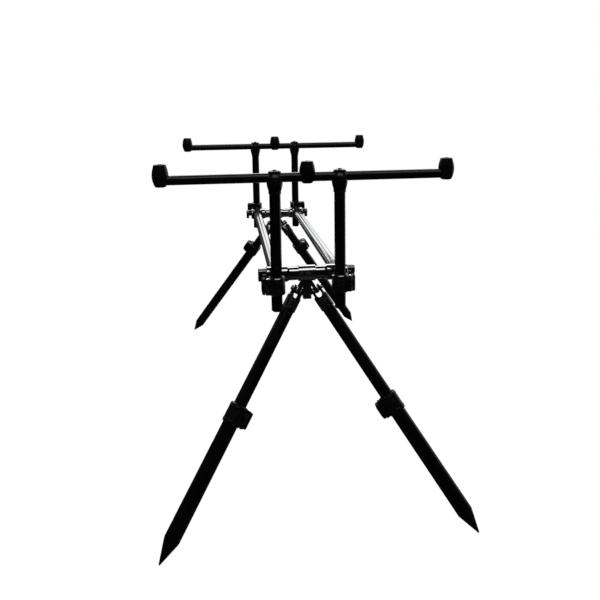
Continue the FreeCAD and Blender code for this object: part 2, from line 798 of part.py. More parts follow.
def alarm_inserts(end):
    """Metal inserts whose threaded bores take the bite alarms or rod rests."""
    name = end + "_alarm_inserts"
    inserts = []
    for place_index in (-1, 0, 1):
        tag = f"{name}_{('left', 'middle', 'right')[place_index + 1]}"
        across = barrel_across(place_index)
        plug = rod(tag + "_plug", cell.insert_dia / 2, cell.insert_depth,
                   x=across, z=cell.barrel_rise - cell.insert_depth)
        bore = rod(tag + "_bore", cell.insert_bore_dia / 2, cell.insert_bore_depth + cell.overrun,
                   x=across, z=cell.barrel_rise - cell.insert_bore_depth)
        inserts.append(cut(tag + "_insert", plug, bore))
    finish(grouped(name + "_set", *inserts), name, bar_placement(end))


# Knobs that lock the rails in the crossbars

def rail_knob(end, side):
    """A grooved thumb screw with a paddle, screwed into the end of the crossbar."""
    name = f"{end}_{world_side(end, side)}_rail_knob"
    wall = cell.crossbar_length / 2
    rail_dia = cell.rail_outer_dia if end == "front" else cell.rail_inner_dia
    screw_tip = cell.post_spacing / 2 + rail_dia / 2 + cell.side_gap
    barrel_start = wall + cell.side_gap
    plate_start = barrel_start + cell.knob_barrel_width
    screw = rod(name + "_screw", cell.knob_screw_dia / 2, barrel_start - screw_tip,
                x=screw_tip, turn=ALONG_X)
    barrel = rod(name + "_barrel", cell.knob_barrel_dia / 2, cell.knob_barrel_width,
                 x=barrel_start, turn=ALONG_X)
    grooves = []
    count = int(cell.knob_grooves.value)
    for index in range(count):
        angle = 2 * math.pi * index / count
        groove = doc.addObject("Part::Prism", f"{name}_groove_{index}")
        groove.Polygon = 4
        bind(groove, "Circumradius", cell.knob_groove_depth)
        bind(groove, "Height", cell.knob_barrel_width + cell.overrun)
        round_axis = FreeCAD.Rotation(FreeCAD.Vector(1, 0, 0), math.degrees(angle))
        place(groove, x=barrel_start - cell.overrun,
              y=cell.knob_barrel_dia / 2 * math.cos(angle),
              z=cell.knob_barrel_dia / 2 * math.sin(angle),
              turn=round_axis.multiply(ALONG_X))
        grooves.append(groove)
    grip = cut(name + "_grip", barrel, *grooves)
    disc = rod(name + "_disc", cell.knob_barrel_dia / 2, cell.knob_plate_width,
               x=plate_start, turn=ALONG_X)
    tail = rod(name + "_tail", cell.knob_tail_dia / 2, cell.knob_plate_width,
               x=plate_start, z=-cell.knob_tail_drop, turn=ALONG_X)
    neck = block(name + "_neck", (plate_start, -cell.knob_tail_dia / 2, -cell.knob_tail_drop),
                 (plate_start + cell.knob_plate_width, cell.knob_tail_dia / 2, nothing))
    plate = fused(name + "_plate", disc, tail, neck)
    face = (plate_start + cell.knob_plate_width).value
    paddle = rounded(name + "_paddle", plate, cell.knob_edge,
                     lambda edge, middle: abs(middle.x - face) < SAME_PLACE, kind="Part::Chamfer")
    knob = fused(name + "_solid", screw, grip, paddle)
    turn = FreeCAD.Rotation() if side > 0 else HALF_TURN
    local = FreeCAD.Placement(FreeCAD.Vector(0, 0, cell.knob_rise.value), turn)
    finish(knob, name, end_placement(end).multiply(local))


# Legs. Each is drawn along its own Z, with the hinge at its origin and the foot below.

def leg_yoke(name, frame):
    """A fork over the hinge lug that narrows from the sleeve on the upper tube."""
    half = fork_half_width()
    shoulder = cell.yoke_shoulder
    cheek = cell.lug_round
    eye = rod(name + "_eye", cheek, half * 2, x=-half, turn=ALONG_X)
    cheeks = block(name + "_cheeks", (-half, -cheek, -shoulder), (half, cheek, nothing))
    radius = cell.yoke_dia / 2
    sleeve = turned(name + "_sleeve", [
        (nothing, -cell.yoke_length), (radius, -cell.yoke_length), (radius, -shoulder),
        (cheek, cell.yoke_cone - shoulder), (nothing, cell.yoke_cone - shoulder),
    ])
    solid = fused(name + "_solid", eye, cheeks, sleeve)
    slot_half = slot_half_width()
    slot = block(name + "_slot", (-slot_half, -radius, -cell.yoke_slot_depth),
                 (slot_half, radius, cheek + cell.overrun))
    hole = rod(name + "_hole", cell.bolt_dia / 2 + cell.running_gap, half * 2 + cell.overrun * 2,
               x=-half - cell.overrun, turn=ALONG_X)
    socket = rod(name + "_socket", cell.upper_tube_dia / 2 + cell.seat_gap,
                 cell.yoke_socket_depth + cell.overrun, z=-cell.yoke_length - cell.overrun)
    finish(cut(name + "_body", solid, slot, hole, socket), name, frame)


def upper_tube_start():
    return -cell.yoke_length + cell.yoke_socket_depth


def upper_tube(name, frame):
    """The thin tube, with the ring on its lower end that runs in the thick tube."""
    start = upper_tube_start()
    radius = cell.upper_tube_dia / 2
    bottom = start - cell.upper_tube_length
    skin = rod(name + "_skin", radius, cell.upper_tube_length, z=bottom)
    bore = rod(name + "_bore", radius - cell.tube_wall, cell.upper_tube_length + cell.overrun * 2,
               z=bottom - cell.overrun)
    tube = cut(name + "_tube", skin, bore)
    lower_bore = cell.lower_tube_dia / 2 - cell.tube_wall
    ring_skin = rod(name + "_ring_skin", lower_bore - cell.running_gap, cell.guide_ring_length,
                    z=bottom)
    ring_bore = rod(name + "_ring_bore", radius + cell.seat_gap,
                    cell.guide_ring_length + cell.overrun * 2, z=bottom - cell.overrun)
    ring = cut(name + "_ring", ring_skin, ring_bore)
    finish(grouped(name + "_parts", tube, ring), name, frame)


def collar_place(end):
    """Distance from the hinge to the middle of the leg's clamp collar."""
    return cell.front_collar_place if end == "front" else cell.rear_collar_place


def leg_collar(name, end, frame):
    collar = clamp_collar(name + "_part", cell.upper_tube_dia, cell.leg_collar_dia,
                          cell.leg_collar_length, -1, seat_dia=cell.lower_tube_dia)
    down = FreeCAD.Placement(FreeCAD.Vector(0, 0, -collar_place(end).value), FreeCAD.Rotation())
    finish(collar, name, frame.multiply(down))


def leg_lever(name, end, frame):
    lever = clamp_lever(name + "_part", cell.leg_collar_dia, cell.leg_collar_length, -1)
    down = FreeCAD.Placement(FreeCAD.Vector(0, 0, -collar_place(end).value), FreeCAD.Rotation())
    finish(lever, name, frame.multiply(down))


def lower_tube(name, end, frame):
    """The thick tube, from its seat in the collar down to the spike."""
    radius = cell.lower_tube_dia / 2
    top = collar_place(end) + cell.leg_collar_length / 2 - cell.tube_seat_depth
    length = Size(leg_length(end), repr(leg_length(end))) - cell.spike_length - top
    skin = rod(name + "_skin", radius, length, z=-top - length)
    bore = rod(name + "_bore", radius - cell.tube_wall, length + cell.overrun * 2,
               z=-top - length - cell.overrun)
    finish(cut(name + "_tube", skin, bore), name, frame)


def spike(name, end, frame):
    """A turned point with a plug that fits in the thick tube."""
    radius = cell.lower_tube_dia / 2
    plug = radius - cell.tube_wall - cell.spike_plug_gap
    tip = cell.spike_tip_dia / 2
    rim = cell.spike_length
    body = turned(name + "_turned", [
        (nothing, nothing), (tip, nothing), (radius, rim - cell.spike_land), (radius, rim),
        (plug, rim), (plug, rim + cell.spike_plug), (nothing, rim + cell.spike_plug),
    ])
    foot = FreeCAD.Placement(FreeCAD.Vector(0, 0, -leg_length(end)), FreeCAD.Rotation())
    finish(body, name, frame.multiply(foot))


def leg(end, side):
    prefix = f"{end}_{world_side(end, side)}_leg"
    frame = leg_placement(end, side)
    leg_yoke(prefix + "_yoke", frame)
    upper_tube(prefix + "_upper_tube", frame)
    leg_collar(prefix + "_collar", end, frame)
    leg_lever(prefix + "_lever", end, frame)
    lower_tube(prefix + "_lower_tube", end, frame)
    spike(prefix + "_spike", end, frame)


# The whole pod

for end in ("front", "rear"):
    crossbar(end)
    leg_bracket(end)
    hinge_bolts(end)
    post_clamps(end)
    end_caps(end)
    bar_heads(end)
    bar_head_caps(end)
    rest_bar(end)
    alarm_barrels(end)
    alarm_inserts(end)
    for side in (-1, 1):
        upright(end, side)
        post_lever(end, side)
        rail_knob(end, side)
        leg(end, side)
for side in (-1, 1):
    rail("outer", side)
    rail("inner", side)

doc.recompute()
for thing in doc.Objects:
    if "Invalid" in thing.State or "Error" in thing.State:
        raise RuntimeError(f"{thing.Name} is {thing.State}")
for node in nodes:
    if node.Shape.isNull() or not node.Shape.isValid():
        raise RuntimeError(f"{node.Label} has no valid shape")

os.makedirs("parts", exist_ok=True)
for node in nodes:
    node.Shape.exportStep(f"parts/{node.Label}.step")
print(len(nodes), "nodes written")
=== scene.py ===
import json
import math

import bpy
from mathutils import Matrix, Vector


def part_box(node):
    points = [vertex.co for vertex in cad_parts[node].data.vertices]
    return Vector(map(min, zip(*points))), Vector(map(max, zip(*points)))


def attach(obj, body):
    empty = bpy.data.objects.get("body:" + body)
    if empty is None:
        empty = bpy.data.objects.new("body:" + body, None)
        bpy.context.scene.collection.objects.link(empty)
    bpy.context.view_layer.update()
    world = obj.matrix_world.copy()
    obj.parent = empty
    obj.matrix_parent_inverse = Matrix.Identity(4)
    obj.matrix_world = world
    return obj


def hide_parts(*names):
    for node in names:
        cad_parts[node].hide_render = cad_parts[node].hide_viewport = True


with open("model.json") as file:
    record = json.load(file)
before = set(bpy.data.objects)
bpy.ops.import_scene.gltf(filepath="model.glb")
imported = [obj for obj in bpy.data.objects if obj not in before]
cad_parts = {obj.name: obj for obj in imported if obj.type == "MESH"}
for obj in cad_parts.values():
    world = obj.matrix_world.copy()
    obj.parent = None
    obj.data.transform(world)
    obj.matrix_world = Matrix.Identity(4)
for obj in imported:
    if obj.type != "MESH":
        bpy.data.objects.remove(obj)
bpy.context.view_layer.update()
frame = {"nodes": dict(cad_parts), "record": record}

MM = 0.001
ENDS = ("front", "rear")
SIDES = ("left", "right")
CORNERS = [(end, side) for end in ENDS for side in SIDES]
UP = Vector((0, 0, 1))
ACROSS = Vector((1, 0, 0))
ALONG = Vector((0, 1, 0))
JOINTS = {joint["name"]: joint for joint in frame["record"]["behaviour"]["joints"]}
MOUNTS = {mount["name"]: mount for mount in frame["record"]["mounts"]}

# Camera, worked out from the photograph: millimetres, degrees and image pixels

IMAGE_SIDE = 600
SENSOR_WIDTH = 36.0
FOCAL_PIXELS = 590.6
CENTRE_DROP_PIXELS = 104.1
CAMERA_PLACE = Vector((-129.4, -1324.9, 678.3)) * MM
CAMERA_YAW = math.radians(6.83)
CAMERA_PITCH = math.radians(8.08)
CAMERA_ROLL = math.radians(-0.82)
FARTHEST_SEEN = 50.0


def aim_camera():
    """The photograph's camera, turned by its yaw, pitch and roll, with the frame shifted down."""
    data = bpy.data.cameras.new("photo_camera")
    camera = bpy.data.objects.new("photo_camera", data)
    bpy.context.scene.collection.objects.link(camera)
    data.sensor_width = SENSOR_WIDTH
    data.lens = SENSOR_WIDTH * FOCAL_PIXELS / IMAGE_SIDE
    data.shift_y = -CENTRE_DROP_PIXELS / IMAGE_SIDE
    level = Vector((math.sin(CAMERA_YAW), math.cos(CAMERA_YAW), 0))
    sideways = Vector((math.cos(CAMERA_YAW), -math.sin(CAMERA_YAW), 0))
    ahead = math.cos(CAMERA_PITCH) * level - math.sin(CAMERA_PITCH) * UP
    over = math.cos(CAMERA_PITCH) * UP + math.sin(CAMERA_PITCH) * level
    right = math.cos(CAMERA_ROLL) * sideways + math.sin(CAMERA_ROLL) * over
    top = math.cos(CAMERA_ROLL) * over - math.sin(CAMERA_ROLL) * sideways
    turn = Matrix((right, top, -ahead)).transposed().to_4x4()
    camera.matrix_world = Matrix.Translation(CAMERA_PLACE) @ turn
    data.clip_end = FARTHEST_SEEN
    bpy.context.scene.camera = camera


# Node helpers

def link(tree, source, target):
    tree.links.new(source, target)


def feed(tree, value, target):
    """Sets an input to a plain number, or links a socket to it."""
    if isinstance(value, (int, float)):
        target.default_value = value
    else:
        link(tree, value, target)


def node(tree, kind, **values):
    """A new node with its properties set."""
    made = tree.nodes.new(kind)
    for name, value in values.items():
        setattr(made, name, value)
    return made


def scaled(tree, source, low, high, to_low, to_high):
    """The source's range from low to high, mapped smoothly to another one and held there."""
    mapped = node(tree, "ShaderNodeMapRange", interpolation_type="SMOOTHSTEP")
    link(tree, source, mapped.inputs["Value"])
    mapped.inputs["From Min"].default_value = low
    mapped.inputs["From Max"].default_value = high
    mapped.inputs["To Min"].default_value = to_low
    mapped.inputs["To Max"].default_value = to_high
    return mapped.outputs["Result"]


def combined(tree, operation, first, second):
    """A math node; each input is a socket or a plain number."""
    made = node(tree, "ShaderNodeMath", operation=operation)
    feed(tree, first, made.inputs[0])
    feed(tree, second, made.inputs[1])
    return made.outputs[0]


def vector_math(tree, operation, first, second):
    """A vector math node. SCALE takes its factor second, and DOT_PRODUCT gives a number."""
    made = node(tree, "ShaderNodeVectorMath", operation=operation)
    link(tree, first, made.inputs[0])
    link(tree, second, made.inputs["Scale"] if operation == "SCALE" else made.inputs[1])
    return made.outputs["Value" if operation == "DOT_PRODUCT" else "Vector"]


def noise(tree, place, scale, **settings):
    """A noise texture. Its scale is a socket or a number, and so are its other settings."""
    made = node(tree, "ShaderNodeTexNoise")
    link(tree, place, made.inputs["Vector"])
    feed(tree, scale, made.inputs["Scale"])
    for label, value in settings.items():
        feed(tree, value, made.inputs[label])
    return made


def effect_group(name, inputs, outputs):
    """An empty shader node group with float inputs and float or colour outputs."""
    group = bpy.data.node_groups.new(name, "ShaderNodeTree")
    for label, value in inputs:
        socket = group.interface.new_socket(label, in_out="INPUT", socket_type="NodeSocketFloat")
        socket.default_value = value
    for label, kind in outputs:
        group.interface.new_socket(label, in_out="OUTPUT", socket_type=kind)
    entry = group.nodes.new("NodeGroupInput")
    exit_node = group.nodes.new("NodeGroupOutput")
    return group, entry, exit_node


def place_group(tree, group, **values):
    """Places a shared effect in a material, with its own values."""
    made = node(tree, "ShaderNodeGroup", node_tree=group)
    for label, value in values.items():
        made.inputs[label.replace("_", " ")].default_value = value
    return made


# Shared effects

def make_surface_grain():
    """Fine blasted or moulded grain: a height for bump, and a patchy mask."""
    group, entry, exit_node = effect_group(
        "surface_grain", [("Grain Size", 1400.0), ("Patch Size", 45.0)],
        [("Height", "NodeSocketFloat"), ("Patches", "NodeSocketFloat")])
    place = node(group, "ShaderNodeTexCoord").outputs["Object"]
    fine = noise(group, place, entry.outputs["Grain Size"], Detail=3)
    broad = noise(group, place, entry.outputs["Patch Size"], Detail=5)
    link(group, fine.outputs["Fac"], exit_node.inputs["Height"])
    link(group, scaled(group, broad.outputs["Fac"], 0.35, 0.7, 0.0, 1.0),
         exit_node.inputs["Patches"])
    return group


def make_drawn_streaks():
    """Lengthwise drawing marks on a tube; the tube's axis comes in as a unit vector's parts."""
    group, entry, exit_node = effect_group(
        "drawn_streaks",
        [("Axis X", 0.0), ("Axis Y", 1.0), ("Axis Z", 0.0), ("Streak Size", 700.0),
         ("Streak Length", 0.03)],
        [("Height", "NodeSocketFloat"), ("Streaks", "NodeSocketFloat")])
    place = node(group, "ShaderNodeTexCoord").outputs["Object"]
    axis_parts = node(group, "ShaderNodeCombineXYZ")
    for part in "XYZ":
        link(group, entry.outputs["Axis " + part], axis_parts.inputs[part])
    axis = axis_parts.outputs[0]
    along = vector_math(group, "DOT_PRODUCT", place, axis)
    lengthwise = vector_math(group, "SCALE", axis, along)
    radial = vector_math(group, "SUBTRACT", place, lengthwise)
    shortened = vector_math(group, "SCALE", lengthwise, entry.outputs["Streak Length"])
    drawn = vector_math(group, "ADD", radial, shortened)
    marks = noise(group, drawn, entry.outputs["Streak Size"], Detail=4, Roughness=0.6)
    link(group, marks.outputs["Fac"], exit_node.inputs["Height"])
    link(group, scaled(group, marks.outputs["Fac"], 0.38, 0.66, 0.0, 1.0),
         exit_node.inputs["Streaks"])
    return group


def make_edge_wear():
    """Rubbed outer edges, broken up by noise."""
    group, entry, exit_node = effect_group(
        "edge_wear", [("Edge Start", 0.54), ("Edge End", 0.62), ("Break Up", 220.0)],
        [("Wear", "NodeSocketFloat")])
    shape = node(group, "ShaderNodeNewGeometry")
    edge = node(group, "ShaderNodeMapRange")
    link(group, shape.outputs["Pointiness"], edge.inputs["Value"])
    link(group, entry.outputs["Edge Start"], edge.inputs["From Min"])
    link(group, entry.outputs["Edge End"], edge.inputs["From Max"])
    place = node(group, "ShaderNodeTexCoord").outputs["Object"]
    patches = noise(group, place, entry.outputs["Break Up"], Detail=4)
    broken = scaled(group, patches.outputs["Fac"], 0.42, 0.62, 0.0, 1.0)
    link(group, combined(group, "MULTIPLY", edge.outputs["Result"], broken),
         exit_node.inputs["Wear"])
    return group


def make_fine_scratches():
    """Sparse hairline scratches from handling."""
    group, entry, exit_node = effect_group(
        "fine_scratches", [("Scratch Size", 90.0)], [("Scratches", "NodeSocketFloat")])
    bending_size = 14
    bending = 0.09
    line_width = 0.012
    bare_stretches = 60
    place = node(group, "ShaderNodeTexCoord").outputs["Object"]
    bent = noise(group, place, bending_size)
    mixed = node(group, "ShaderNodeVectorMath", operation="MULTIPLY_ADD")
    link(group, bent.outputs["Color"], mixed.inputs[0])
    mixed.inputs[1].default_value = (bending, bending, bending)
    link(group, place, mixed.inputs[2])
    cells = node(group, "ShaderNodeTexVoronoi", feature="DISTANCE_TO_EDGE")
    link(group, mixed.outputs[0], cells.inputs["Vector"])
    link(group, entry.outputs["Scratch Size"], cells.inputs["Scale"])
    line = scaled(group, cells.outputs["Distance"], 0.0, line_width, 1.0, 0.0)
    spread = noise(group, place, bare_stretches)
    sparse = scaled(group, spread.outputs["Fac"], 0.58, 0.66, 0.0, 1.0)
    link(group, combined(group, "MULTIPLY", line, sparse), exit_node.inputs["Scratches"])
    return group


SURFACE_GRAIN = make_surface_grain()
DRAWN_STREAKS = make_drawn_streaks()
EDGE_WEAR = make_edge_wear()
FINE_SCRATCHES = make_fine_scratches()


# Materials

DEEP_BLACK = (0.0012, 0.0012, 0.0014)
DEEP_BLACK_PATCH = (0.0022, 0.0022, 0.0025)
TURNED_BLACK = (0.0016, 0.0016, 0.0018)
TURNED_EDGE = (0.02, 0.02, 0.022)
MOULDED_BLACK = (0.0016, 0.0016, 0.0018)
MOULDED_BLACK_PATCH = (0.0028, 0.0028, 0.003)
SCRATCHED_BLACK = (0.012, 0.012, 0.013)
RUBBED_FITTING = (0.014, 0.014, 0.015)
RUBBED_PLASTIC = (0.012, 0.012, 0.013)
SILVER = (0.86, 0.87, 0.88)
SILVER_STREAK = (0.55, 0.57, 0.59)
SCRATCHED_SILVER = (0.5, 0.51, 0.52)
OILED_STEEL = (0.012, 0.012, 0.013)
OILED_STEEL_PATCH = (0.02, 0.02, 0.022)
RUBBED_STEEL = (0.2, 0.2, 0.2)
ZINC = (0.82, 0.82, 0.82)
ZINC_PATCH = (0.66, 0.66, 0.67)


def new_material(name):
    """A material with only a Principled shader and its output."""
    material = bpy.data.materials.new(name)
    material.use_nodes = True
    tree = material.node_tree
    tree.nodes.clear()
    shader = node(tree, "ShaderNodeBsdfPrincipled")
    output = node(tree, "ShaderNodeOutputMaterial")
    link(tree, shader.outputs["BSDF"], output.inputs["Surface"])
    return material, tree, shader


def color_mix(tree, mask, first, second):
    """A colour that goes from the first to the second with the mask."""
    mixed = node(tree, "ShaderNodeMix", data_type="RGBA")
    link(tree, mask, mixed.inputs["Factor"])
    for socket, color in (("A", first), ("B", second)):
        target = next(item for item in mixed.inputs
                      if item.name == socket and item.type == "RGBA")
        if isinstance(color, tuple):
            target.default_value = (*color, 1)
        else:
            link(tree, color, target)
    return next(item for item in mixed.outputs if item.type == "RGBA")


def colored(tree, shader, mask, first, second):
    """The base colour of a finish: the mask leads from the first colour to the second."""
    tint = color_mix(tree, mask, first, second)
    link(tree, tint, shader.inputs["Base Color"])
    return tint


def rubbed(tree, shader, tint, mask, bare):
    """Wear or scratches over a finish's colour."""
    link(tree, color_mix(tree, mask, tint, bare), shader.inputs["Base Color"])


def roughened(tree, shader, mask, smoothest, roughest):
    """Roughness that changes over the surface with the mask."""
    link(tree, scaled(tree, mask, 0.0, 1.0, smoothest, roughest), shader.inputs["Roughness"])


def bumped(tree, shader, height, strength, distance):
    """Fine relief from a height that changes over the surface."""
    bump = node(tree, "ShaderNodeBump")
    bump.inputs["Strength"].default_value = strength
    bump.inputs["Distance"].default_value = distance
    link(tree, height, bump.inputs["Height"])
    link(tree, bump.outputs["Normal"], shader.inputs["Normal"])


def streaks_along(tree, axis, size, length):
    """The drawing or turning marks of a piece that runs along an axis."""
    return place_group(tree, DRAWN_STREAKS, Axis_X=axis.x, Axis_Y=axis.y, Axis_Z=axis.z,
                       Streak_Size=size, Streak_Length=length)


def black_anodised_tube(name, axis):
    """Black anodised drawn tube with faint lengthwise marks along its own axis."""
    material, tree, shader = new_material(name)
    streaks = streaks_along(tree, axis, size=900.0, length=0.02)
    grain = place_group(tree, SURFACE_GRAIN, Grain_Size=2600.0, Patch_Size=30.0)
    scratches = place_group(tree, FINE_SCRATCHES, Scratch_Size=70.0)
    tint = colored(tree, shader, grain.outputs["Patches"], DEEP_BLACK, DEEP_BLACK_PATCH)
    rubbed(tree, shader, tint, scratches.outputs["Scratches"], SCRATCHED_BLACK)
    roughened(tree, shader, streaks.outputs["Streaks"], smoothest=0.24, roughest=0.34)
    shader.inputs["Specular IOR Level"].default_value = 0.1
    bumped(tree, shader, streaks.outputs["Height"], strength=0.12, distance=0.0002)
    return material


def black_turned_metal(name, axis):
    """Bright black anodised machined bar: fine turning marks and rubbed edges."""
    material, tree, shader = new_material(name)
    streaks = streaks_along(tree, axis, size=60.0, length=45.0)
    wear = place_group(tree, EDGE_WEAR, Edge_Start=0.53, Edge_End=0.6, Break_Up=260.0)
    colored(tree, shader, wear.outputs["Wear"], TURNED_BLACK, TURNED_EDGE)
    roughened(tree, shader, streaks.outputs["Streaks"], smoothest=0.07, roughest=0.12)
    shader.inputs["IOR"].default_value = 2.3
    bumped(tree, shader, streaks.outputs["Height"], strength=0.05, distance=0.0001)
    return material


def black_satin_metal(name, axis):
    """Bead-blasted black anodised fittings, turned about their own axis before blasting."""
    material, tree, shader = new_material(name)
    marks = streaks_along(tree, axis, size=70.0, length=40.0)
    grain = place_group(tree, SURFACE_GRAIN, Grain_Size=2200.0, Patch_Size=40.0)
    wear = place_group(tree, EDGE_WEAR, Edge_Start=0.54, Edge_End=0.62, Break_Up=240.0)
    tint = colored(tree, shader, grain.outputs["Patches"], DEEP_BLACK, DEEP_BLACK_PATCH)
    rubbed(tree, shader, tint, wear.outputs["Wear"], RUBBED_FITTING)
    roughened(tree, shader, marks.outputs["Streaks"], smoothest=0.22, roughest=0.32)
    shader.inputs["Specular IOR Level"].default_value = 0.2
    bumped(tree, shader, marks.outputs["Height"], strength=0.08, distance=0.0002)
    return material


def black_moulded_plastic(name, ior, smoothest, roughest):
    """Glass-filled black plastic: moulded grain, patchy gloss and worn edges."""
    material, tree, shader = new_material(name)
    grain = place_group(tree, SURFACE_GRAIN, Grain_Size=1500.0, Patch_Size=60.0)
    wear = place_group(tree, EDGE_WEAR, Edge_Start=0.54, Edge_End=0.64, Break_Up=180.0)
    tint = colored(tree, shader, grain.outputs["Patches"], MOULDED_BLACK, MOULDED_BLACK_PATCH)
    rubbed(tree, shader, tint, wear.outputs["Wear"], RUBBED_PLASTIC)
    roughened(tree, shader, grain.outputs["Patches"], smoothest, roughest)
    shader.inputs["IOR"].default_value = ior
    bumped(tree, shader, grain.outputs["Height"], strength=0.1, distance=0.0001)
    return material


def silver_drawn_tube(name, axis):
    """Bright aluminium tube with grey streaks drawn along it."""
    material, tree, shader = new_material(name)
    streaks = streaks_along(tree, axis, size=190.0, length=0.012)
    scratches = place_group(tree, FINE_SCRATCHES, Scratch_Size=60.0)
    tint = colored(tree, shader, streaks.outputs["Streaks"], SILVER, SILVER_STREAK)
    rubbed(tree, shader, tint, scratches.outputs["Scratches"], SCRATCHED_SILVER)
    shader.inputs["Metallic"].default_value = 0.94
    roughened(tree, shader, streaks.outputs["Streaks"], smoothest=0.03, roughest=0.08)
    bumped(tree, shader, streaks.outputs["Height"], strength=0.06, distance=0.0001)
    return material


def blackened_steel(name):
    """Oil-blackened steel of the threaded inserts, rubbed bright on the crests."""
    material, tree, shader = new_material(name)
    grain = place_group(tree, SURFACE_GRAIN, Grain_Size=1200.0, Patch_Size=200.0)
    wear = place_group(tree, EDGE_WEAR, Edge_Start=0.53, Edge_End=0.6, Break_Up=300.0)
    tint = colored(tree, shader, grain.outputs["Patches"], OILED_STEEL, OILED_STEEL_PATCH)
    rubbed(tree, shader, tint, wear.outputs["Wear"], RUBBED_STEEL)
    shader.inputs["Metallic"].default_value = 1.0
    roughened(tree, shader, grain.outputs["Patches"], smoothest=0.25, roughest=0.4)
    bumped(tree, shader, grain.outputs["Height"], strength=0.1, distance=0.0001)
    return material


def bright_plated_steel(name):
    """Zinc-plated bolts and pins."""
    material, tree, shader = new_material(name)
    grain = place_group(tree, SURFACE_GRAIN, Grain_Size=900.0, Patch_Size=160.0)
    colored(tree, shader, grain.outputs["Patches"], ZINC, ZINC_PATCH)
    shader.inputs["Metallic"].default_value = 1.0
    roughened(tree, shader, grain.outputs["Patches"], smoothest=0.45, roughest=0.6)
    bumped(tree, shader, grain.outputs["Height"], strength=0.1, distance=0.0002)
    return material


PLASTIC = black_moulded_plastic("black_moulded_plastic", ior=1.2,
                                smoothest=0.2, roughest=0.3)
GLOSSY_PLASTIC = black_moulded_plastic("black_glossy_plastic", ior=1.6,
                                       smoothest=0.1, roughest=0.16)
STEEL = bright_plated_steel("bright_plated_steel")
INSERT_STEEL = blackened_steel("blackened_steel")
TURNED_ACROSS = black_turned_metal("black_turned_across", ACROSS)
SATIN_UPRIGHT = black_satin_metal("black_satin_upright", UP)
SILVER_RAIL = silver_drawn_tube("silver_drawn_tube", ALONG)
TUBE_FINISHES = {}


def leg_axis(end, side):
    """The way down one leg."""
    return Vector(JOINTS[f"{end}_{side}_leg_length"]["axis"]).normalized()


def tube_finish(axis):
    """One black tube finish for each direction in which tubes run.

    The key tells mirrored directions apart by the sign of their level parts' product."""
    key = tuple(round(abs(part), 3) for part in axis) + (axis.x * axis.y < 0,)
    if key not in TUBE_FINISHES:
        TUBE_FINISHES[key] = black_anodised_tube(f"black_tube_{len(TUBE_FINISHES)}", axis)
    return TUBE_FINISHES[key]


def node_finish(name, material_slot):
    """The finish of a node that keeps its solid, by its slot and the way its tubes run."""
    if material_slot == "silver_tube":
        return SILVER_RAIL
    if material_slot == "bright_steel":
        return STEEL
    if material_slot == "black_plastic":
        return GLOSSY_PLASTIC if "clamps" in name or "knob" in name else PLASTIC
    if material_slot == "black_machined":
        around_crossbar = "crossbar" in name or "bracket" in name
        return TURNED_ACROSS if around_crossbar else SATIN_UPRIGHT
    if "rest_bar" in name:
        return tube_finish(ACROSS)
    for end, side in CORNERS:
        if name.startswith(f"{end}_{side}_leg"):
            return tube_finish(leg_axis(end, side))
    return tube_finish(UP)


for row in frame["record"]["subparts"]:
    part = frame["nodes"][row["node"]]
    part.data.materials.clear()
    part.data.materials.append(node_finish(row["node"], row["material_slot"]))


# Mesh helpers. Lengths in these are millimetres.

def frame_matrix(origin, axis, outward):
    """A piece's frame, with its origin in metres: Z along the axis, X outward."""
    z_axis = axis.normalized()
    x_axis = (outward - outward.project(z_axis)).normalized()
    y_axis = z_axis.cross(x_axis)
    turn = Matrix((x_axis, y_axis, z_axis)).transposed().to_4x4()
    return Matrix.Translation(origin) @ turn


def lathe(outline, segments, ripple=None):
    """Points and faces of a turned form. The outline's points are (radius, height, kind).

    A round ring is plain, a hex one has six flats, and a ripple has (count, depth) of knurls."""
    points = []
    faces = []
    rings = []
    for radius, height, kind in outline:
        if radius == 0:
            rings.append([len(points)])
            points.append((0.0, 0.0, height))
            continue
        ring = []
        for step in range(segments):
            angle = 2 * math.pi * step / segments
            reach = radius
            if kind == "hex":
                local = (angle % (math.pi / 3)) - math.pi / 6
                reach = radius * math.cos(math.pi / 6) / math.cos(local)
            elif kind == "ripple":
                count, depth = ripple
                reach = radius - depth * (0.5 - 0.5 * math.cos(count * angle))
            ring.append(len(points))
            points.append((reach * math.cos(angle), reach * math.sin(angle), height))
        rings.append(ring)
    for lower, upper in zip(rings, rings[1:]):
        for step in range(segments):
            following = (step + 1) % segments
            if len(lower) == 1 and len(upper) == 1:
                continue
            if len(lower) == 1:
                faces.append((lower[0], upper[following], upper[step]))
            elif len(upper) == 1:
                faces.append((lower[step], lower[following], upper[0]))
            else:
                faces.append((lower[step], lower[following], upper[following], upper[step]))
    return points, faces


def smooth_run(controls, steps):
    """A smooth run of (radius, height) through the control points, ends included."""
    spans = [controls[0]] + list(controls) + [controls[-1]]
    run = []
    for index in range(1, len(spans) - 2):
        before, start, end, after = spans[index - 1:index + 3]
        for step in range(steps):
            t = step / steps
            run.append(tuple(
                0.5 * (2 * start[k] + (end[k] - before[k]) * t
                       + (2 * before[k] - 5 * start[k] + 4 * end[k] - after[k]) * t * t
                       + (3 * start[k] - before[k] - 3 * end[k] + after[k]) * t ** 3)
                for k in range(2)))
    run.append(tuple(controls[-1]))
    return run


def plain(run):
    """Gives each (radius, height) of a run the kind of a round ring."""
    return [(radius, height, "round") for radius, height in run]


def prism(section, length):
    """A closed section of (x, z) points, carried along Y over a length about its middle."""
    count = len(section)
    points = [(x, y, z) for y in (-length / 2, length / 2) for x, z in section]
    faces = [(k, (k + 1) % count, (k + 1) % count + count, k + count) for k in range(count)]
    faces += [tuple(range(count - 1, -1, -1)), tuple(range(count, 2 * count))]
    return points, faces


